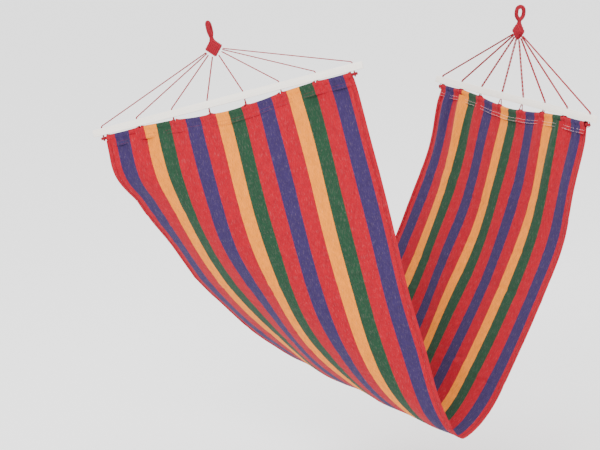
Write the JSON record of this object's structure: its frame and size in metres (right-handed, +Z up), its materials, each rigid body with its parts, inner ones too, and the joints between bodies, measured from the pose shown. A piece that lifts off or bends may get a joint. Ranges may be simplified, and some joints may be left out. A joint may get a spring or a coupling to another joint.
{
  "type": "spreader bar hammock",
  "caption": "Striped cloth hammock with wooden spreader bars, doubled cords fanning from woven knots, and rope eyes to hang it by.",
  "frame": {"origin": "inside top of the near eye, where the near hook bears", "axes": "+Z up, +X level from the near hook towards the far hook, +Y to the left of that"},
  "size_m": [1.3633, 0.8953, 1.1821],
  "materials": {
    "striped_cloth": "matt woven cotton, striped red, blue, yellow and green",
    "hem_cloth": "matt folded and stitched cotton",
    "wood": "white-washed, satin",
    "cord": "matt twisted cord",
    "rope": "matt twisted rope",
    "served_rope": "rope wrapped tightly with thin cord"
  },
  "bodies": {
    "hooks_end": {"near_eye": "served_rope", "far_eye": "served_rope"},
    "bed": {"bed_cloth": "striped_cloth", "left_side_hem": "hem_cloth", "right_side_hem": "hem_cloth", "near_knot": "cord", "far_knot": "cord"},
    "near_clew": {"near_spreader_bar": "wood", "near_hem_rope": "rope", "near_hem": "hem_cloth", "near_cord_1": "cord", "near_cord_2": "cord", "near_cord_3": "cord", "near_cord_4": "cord", "near_cord_5": "cord", "near_cord_6": "cord", "near_cord_7": "cord", "near_cord_8": "cord"},
    "far_clew": {"far_spreader_bar": "wood", "far_hem_rope": "rope", "far_hem": "hem_cloth", "far_cord_1": "cord", "far_cord_2": "cord", "far_cord_3": "cord", "far_cord_4": "cord", "far_cord_5": "cord", "far_cord_6": "cord", "far_cord_7": "cord", "far_cord_8": "cord"}
  },
  "joints": [
    {"name": "swing", "type": "hinge", "parent": "hooks_end", "child": "bed", "pos_m": [0.00516, -0.01299, -0.03748], "axis": [0.9999, 0.0127, -0.0027], "range_deg": [-30, 30]},
    {"name": "near_bar_roll", "type": "hinge", "parent": "bed", "child": "near_clew", "pos_m": [0.02861, -0.07212, -0.208], "axis": [-0.1289, 0.3249, 0.9369], "range_deg": [-15, 15], "stiffness_Nm_per_rad": 0.5},
    {"name": "far_bar_roll", "type": "hinge", "parent": "bed", "child": "far_clew", "pos_m": [0.95568, -0.00775, -0.27103], "axis": [0.089, 0.0305, 0.9956], "range_deg": [-15, 15], "stiffness_Nm_per_rad": 0.5}
  ]
}
